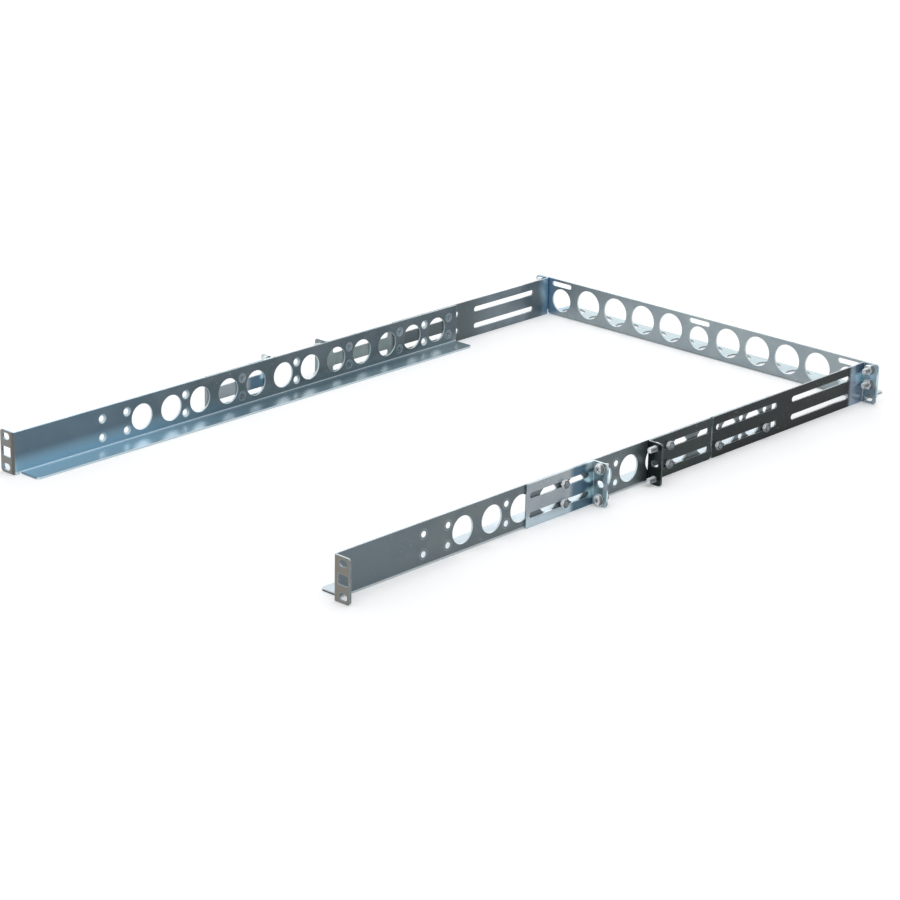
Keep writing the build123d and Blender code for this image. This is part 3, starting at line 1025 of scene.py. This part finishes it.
@dataclass
class RackSide:
    """One side of the pair: rail, mid brackets, rear bracket and their fasteners."""

    side: Side
    sizes: RailSizes

    def sheets(self) -> list[SheetPiece]:
        """The bent sheets of this side.

        Returns:
            The rail and its three brackets.
        """
        word = self.side.word
        finishes = {Side.LEFT: (RAIL_LEFT, BRACKET_MID_LEFT, BRACKET_REAR_LEFT),
                    Side.RIGHT: (RAIL_RIGHT, BRACKET_MID_RIGHT, BRACKET_REAR_RIGHT)}
        rail, mid, rear = finishes[self.side]
        return [SheetPiece(f"{word}_rail", rail, Slot.RAIL),
                SheetPiece(f"{word}_front_mid_bracket", BRACKET_FRONT, Slot.BRACKET),
                SheetPiece(f"{word}_rear_mid_bracket", mid, Slot.BRACKET),
                SheetPiece(f"{word}_rear_bracket", rear, Slot.BRACKET)]

    def small_parts(self) -> list[SheetPiece]:
        """Nuts and washers of this side, which keep their CAD shape.

        Returns:
            One piece for each CAD node.
        """
        names = ("front_clamp_nuts", "middle_clamp_nuts", "rear_clamp_nuts", "front_mid_washers",
                 "rear_mid_washers", "bar_nuts")
        return [SheetPiece(f"{self.side.word}_{name}", FASTENER, Slot.FASTENER,
                           edge_break=0.12 * MM) for name in names]

    def outward(self, y: float, z: float) -> Matrix:
        """Place of a clamp screw, from the web's inner face outwards."""
        way = Vector((self.side.value, 0, 0))
        return towards(way * self.sizes.web_inner + Vector((0, y, z)), Vector((0, 1, 0)), way)

    def lengthwise(self, y: float, z: float, heading: int) -> Matrix:
        """Place of a rack screw at the column of rack holes, to the rear or to the front."""
        at = Vector((self.side.value * self.sizes.column, y, z))
        return towards(at, Vector((1, 0, 0)), Vector((0, heading, 0)))

    def ear_faces(self) -> dict[str, tuple[float, int]]:
        """Where the heads of the mid ears' screws sit, with the way that each screw points.

        Returns:
            Y of the face under the heads and the heading along Y, by the bracket's name.
        """
        word, s = self.side.word, self.sizes
        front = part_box(f"{word}_front_mid_bracket")[1][1] - s.sheet - s.washer
        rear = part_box(f"{word}_rear_mid_bracket")[0][1] + s.sheet + s.washer
        return {"front_mid": (front, 1), "rear_mid": (rear, -1)}

    def screws(self, flat: bpy.types.Object, rack: bpy.types.Object, bolt: bpy.types.Object,
               sunk: bpy.types.Material, bright: bpy.types.Material) -> list[ScrewSet]:
        """The screws of this side.

        Args:
            flat: Model of the flat-head screw.
            rack: Model of the rack screw.
            bolt: Model of the tie bar's bolt.
            sunk: Finish of the flat-head screws.
            bright: Finish of the others.

        Returns:
            One set for each CAD node.
        """
        s, word = self.sizes, self.side.word
        both = (s.pair, -s.pair)
        rear_rows = both if self.side is Side.LEFT else (-s.pair,)
        rail = f"{word}_rail_body"
        clamps = {
            "front_clamp": [(s.front_clamp, z) for z in both],
            "middle_clamp": [(s.middle_clamp, z) for z in both],
            "rear_clamp": [(y, z) for y in s.rear_clamps for z in rear_rows],
        }
        made = []
        for name, holes in clamps.items():
            places = [self.outward(y, z) for y, z in holes]
            made.append(ScrewSet(f"{word}_{name}_screws", rail, flat, places, sunk))
        for name, (y, heading) in self.ear_faces().items():
            places = [self.lengthwise(y, z, heading) for z in (s.hole_pitch, -s.hole_pitch)]
            made.append(ScrewSet(f"{word}_{name}_rack_screws", f"{word}_{name}_body", rack,
                                 places, bright))
        bolts = [self.lengthwise(s.bar_rear, z, -1) for z in (0.0, s.hole_pitch)]
        made.append(ScrewSet(f"{word}_bar_bolts", "rear_frame", bolt, bolts, bright))
        return made


@dataclass(frozen=True)
class Fasteners:
    """Sizes of the three screws of the rail pair."""

    web_thread: Thread = Thread(2.5 * MM, 0.8 * MM)
    rack_thread: Thread = Thread(3.0 * MM, 1.0 * MM)
    rack_length: float = 12.0 * MM
    bolt_length: float = 16.0 * MM

    def flat_screw(self) -> Screw:
        """Flat-head M5 screw, its head sunk into the web.

        Returns:
            The screw.
        """
        head, sink, bevel, rim = 4.6 * MM, 0.1 * MM, 0.15 * MM, 0.12 * MM
        major = self.web_thread.major
        under = sink + head - major
        crown = ((0.0, sink), (head - bevel, sink), (head, sink + rim), (major, under))
        return Screw("flat_screw", self.web_thread, head, crown, thread_start=under + 0.9 * MM,
                     length=8.0 * MM, recess_top=sink, recess_depth=1.7 * MM)

    def pan_screw(self, name: str, length: float) -> Screw:
        """Pan-head M6 screw.

        Args:
            name: Name of the model.
            length: Length under the head.

        Returns:
            The screw.
        """
        head, flat, rim, top, bevel = 5.2 * MM, 1.8 * MM, -1.3 * MM, -3.4 * MM, 0.25 * MM
        steps = 7
        angles = [math.pi / 2 * step / steps for step in range(steps + 1)]
        dome = [(flat + (head - flat) * math.sin(angle), rim + (top - rim) * math.cos(angle))
                for angle in angles]
        crown = ((0.0, top), *dome, (head, -bevel), (head - bevel, 0.0),
                 (self.rack_thread.major, 0.0))
        return Screw(name, self.rack_thread, head, crown, thread_start=2.2 * MM, length=length,
                     recess_top=top)


@dataclass(frozen=True)
class Studio:
    """Pale floor, soft lamps, white surroundings and the camera."""

    floor_level: float = -22.2 * MM
    floor_size: float = 16.0
    floor_glow: float = 0.2
    paper: Opaque = (0.9, 0.9, 0.9, 1.0)
    white: Opaque = (1.0, 1.0, 1.0, 1.0)
    fill: Opaque = (0.97, 0.985, 1.0, 1.0)
    fill_strength: float = 0.6
    eye: Triple = (1.82257, -1.59290, 0.92025)
    right: Triple = (0.73110, 0.68202, 0.01855)
    up: Triple = (-0.24092, 0.23262, 0.94225)
    ahead: Triple = (-0.63832, 0.69335, -0.33438)
    lens: float = 111.616
    sensor: float = 36.0
    middle: Triple = (0.0, 0.4, 0.0)

    def camera(self) -> None:
        """Set the camera at the photograph's place."""
        data = bpy.data.cameras.new("camera")
        data.lens, data.sensor_width = self.lens, self.sensor
        data.clip_start, data.clip_end = 0.05, 60.0
        camera = bpy.data.objects.new("camera", data)
        bpy.context.scene.collection.objects.link(camera)
        back = -Vector(self.ahead)
        turn = Matrix((Vector(self.right), Vector(self.up), back)).transposed()
        camera.matrix_world = Matrix.LocRotScale(Vector(self.eye), turn.to_quaternion(), None)
        bpy.context.scene.camera = camera

    def seen(self, board: Board) -> bpy.types.NodeSocket:
        """1 for rays of the camera, of gloss and of glass.

        Args:
            board: The board of the material or the world.

        Returns:
            The mask's socket.
        """
        path = board.lay("ShaderNodeLightPath").outputs
        plain = board.calc("MAXIMUM", path["Is Camera Ray"], path["Is Glossy Ray"])
        return board.calc("MAXIMUM", plain, path["Is Transmission Ray"])

    def floor(self) -> None:
        """Lay the pale floor."""
        bpy.ops.mesh.primitive_plane_add(
            size=self.floor_size, location=(0.0, self.middle[1], self.floor_level))
        floor = new_piece("floor")
        material = bpy.data.materials.new("pale_floor")
        board = Board.cleared(material)
        paper = board.lay("ShaderNodeBsdfDiffuse", Color=self.paper)
        glow = board.lay("ShaderNodeEmission", Color=self.white,
                         Strength=board.calc("MULTIPLY", self.seen(board), self.floor_glow))
        both = board.lay("ShaderNodeAddShader")
        board.feed(both.inputs[0], paper.outputs[0])
        board.feed(both.inputs[1], glow.outputs[0])
        board.lay("ShaderNodeOutputMaterial", Surface=both.outputs[0])
        floor.data.materials.append(material)

    def surroundings(self) -> None:
        """White room to the eye and in reflections, softer as a light."""
        world = bpy.data.worlds.new("white_room")
        bpy.context.scene.world = world
        board = Board.cleared(world)
        light = board.lay("ShaderNodeBackground", Color=self.fill, Strength=self.fill_strength)
        sight = board.lay("ShaderNodeBackground", Color=self.white, Strength=1.0)
        mix = board.lay("ShaderNodeMixShader", Fac=self.seen(board))
        board.feed(mix.inputs[1], light.outputs[0])
        board.feed(mix.inputs[2], sight.outputs[0])
        board.lay("ShaderNodeOutputWorld", Surface=mix.outputs[0])

    def lamp(self, name: str, way: Triple, distance: float, width: float, height: float,
             brightness: float) -> None:
        """Hang a soft lamp that faces the object.

        Args:
            name: Name of the lamp.
            way: Direction from the object to the lamp.
            distance: How far it hangs.
            width: Width of its panel.
            height: Height of its panel.
            brightness: Brightness of the panel, where 1 is white.
        """
        data = bpy.data.lights.new(name, "AREA")
        data.shape = "RECTANGLE"
        data.size, data.size_y = width, height
        data.energy = brightness * math.pi * width * height
        lamp = bpy.data.objects.new(name, data)
        bpy.context.scene.collection.objects.link(lamp)
        direction = Vector(way).normalized()
        lamp.location = Vector(self.middle) + direction * distance
        lamp.rotation_mode = "QUATERNION"
        lamp.rotation_quaternion = (-direction).to_track_quat("-Z", "Y")
        lamp.visible_camera = False

    def build(self) -> None:
        """Set up the whole studio."""
        self.floor()
        self.surroundings()
        self.lamp("window", (-0.66, 0.69, 0.36), distance=2.7, width=3.2, height=1.3,
                  brightness=1.4)
        self.lamp("overhead", (0.1, -0.05, 1.0), distance=2.4, width=2.4, height=2.4,
                  brightness=1.4)
        self.camera()
        log.info("studio ready")


def main() -> None:
    """Build the studio, dress the sheets and set the fasteners."""
    logging.basicConfig(level=logging.INFO, format="%(name)s: %(message)s", force=True)
    bpy.context.scene.view_settings.view_transform = "Standard"
    Studio().build()
    effects = Effects.build()
    fasteners = Fasteners()
    kinds = (fasteners.flat_screw(), fasteners.pan_screw("rack_screw", fasteners.rack_length),
             fasteners.pan_screw("bar_bolt", fasteners.bolt_length))
    patterns = [screw.model() for screw in kinds]
    sunk, bright = SUNK_HEAD.build(effects), FASTENER.build(effects)
    materials = {FASTENER.name: bright}
    SheetPiece("tie_bar", BAR, Slot.BAR).dress(effects, materials)
    for side in Side:
        rack_side = RackSide(side, RailSizes())
        for sheet in [*rack_side.sheets(), *rack_side.small_parts()]:
            sheet.dress(effects, materials)
        for screw_set in rack_side.screws(*patterns, sunk, bright):
            screw_set.build()
    for pattern in patterns:
        bpy.data.objects.remove(pattern)


if __name__ == "__main__":
    main()
